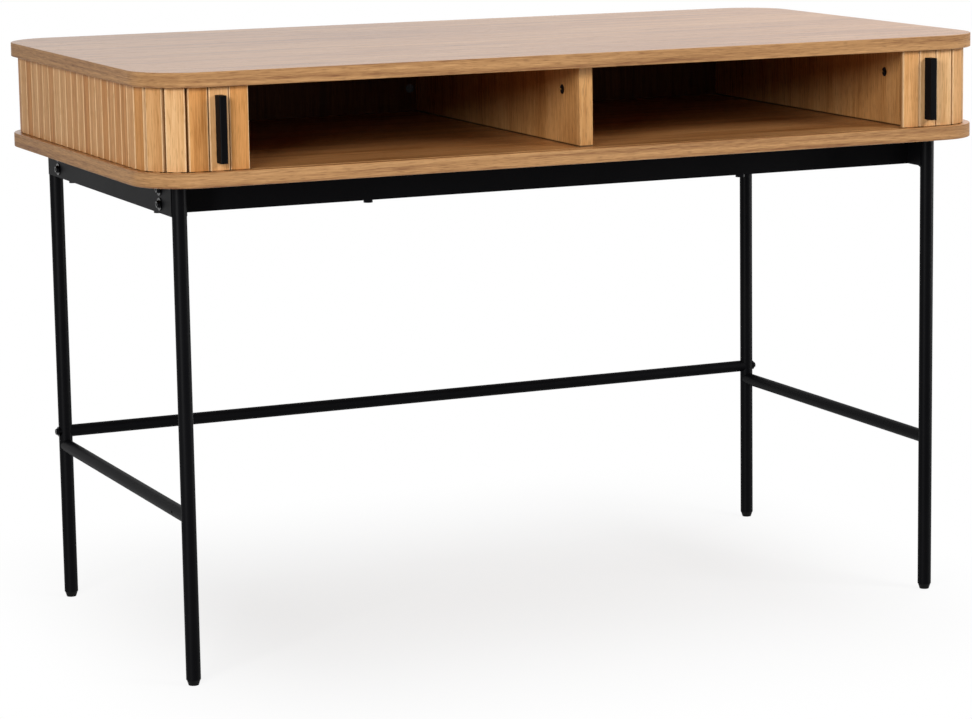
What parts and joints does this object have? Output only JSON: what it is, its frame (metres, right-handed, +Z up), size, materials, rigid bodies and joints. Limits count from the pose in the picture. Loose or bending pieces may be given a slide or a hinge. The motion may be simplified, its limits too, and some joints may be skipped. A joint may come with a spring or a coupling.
{
  "type": "tambour desk",
  "caption": "Writing desk with a shallow open cabinet under its round-cornered oak top, closed by slatted tambour curtains with black bar pulls, on a black tubular steel frame.",
  "frame": {"origin": "on the floor, under the middle of the desk's overall box, handles included", "axes": "+Z up, +X to the user's right along the desk's width, -Y towards the user"},
  "size_m": [1.15, 0.628, 0.75],
  "materials": {
    "oak_board": "matt clear lacquer on oak veneer",
    "oak_slat": "matt clear lacquer on solid oak",
    "beech_dowel": "raw fluted beech",
    "canvas": "woven cotton",
    "black_handle": "satin black powder coat",
    "black_steel": "satin black powder coat",
    "blackened_steel": "blackened",
    "zinc_plated_steel": "zinc plated",
    "black_plastic": "matt moulded"
  },
  "bodies": {
    "desk": {"board_screws": "blackened_steel", "bottom_board": "oak_board", "cam_bolts": "zinc_plated_steel", "cam_locks": "zinc_plated_steel", "centre_divider": "oak_board", "front_rail": "black_steel", "inner_back_panel": "oak_board", "left_back_slats": "oak_slat", "left_curtain_canvas": "canvas", "left_front_corner_slats": "oak_slat", "left_front_foot": "black_plastic", "left_front_leg": "black_steel", "left_partition": "oak_board", "left_rear_corner_slats": "oak_slat", "left_rear_foot": "black_plastic", "left_rear_leg": "black_steel", "left_side_rail": "black_steel", "left_side_slats": "oak_slat", "left_side_stretcher": "black_steel", "panel_dowels": "beech_dowel", "rail_bolts": "blackened_steel", "rail_end_plates": "black_steel", "rail_gussets": "black_steel", "rail_washers": "blackened_steel", "rear_rail": "black_steel", "rear_stretcher": "black_steel", "right_back_slats": "oak_slat", "right_curtain_canvas": "canvas", "right_front_corner_slats": "oak_slat", "right_front_foot": "black_plastic", "right_front_leg": "black_steel", "right_partition": "oak_board", "right_rear_corner_slats": "oak_slat", "right_rear_foot": "black_plastic", "right_rear_leg": "black_steel", "right_side_rail": "black_steel", "right_side_slats": "oak_slat", "right_side_stretcher": "black_steel", "stretcher_bolts": "blackened_steel", "stretcher_plugs": "black_steel", "stretcher_washers": "blackened_steel", "top_board": "oak_board"},
    "left_door": {"left_lead_slat": "oak_slat", "left_handle_slat": "oak_slat", "left_lead_canvas": "canvas", "left_handle": "black_handle", "left_handle_screws": "zinc_plated_steel"},
    "right_door": {"right_lead_slat": "oak_slat", "right_handle_slat": "oak_slat", "right_lead_canvas": "canvas", "right_handle": "black_handle", "right_handle_screws": "zinc_plated_steel"}
  },
  "joints": [
    {"name": "left_door_slide", "type": "slide", "parent": "desk", "child": "left_door", "axis": [1, 0, 0], "range_m": [0, 0.44675]},
    {"name": "right_door_slide", "type": "slide", "parent": "desk", "child": "right_door", "axis": [-1, 0, 0], "range_m": [0, 0.44675]}
  ]
}
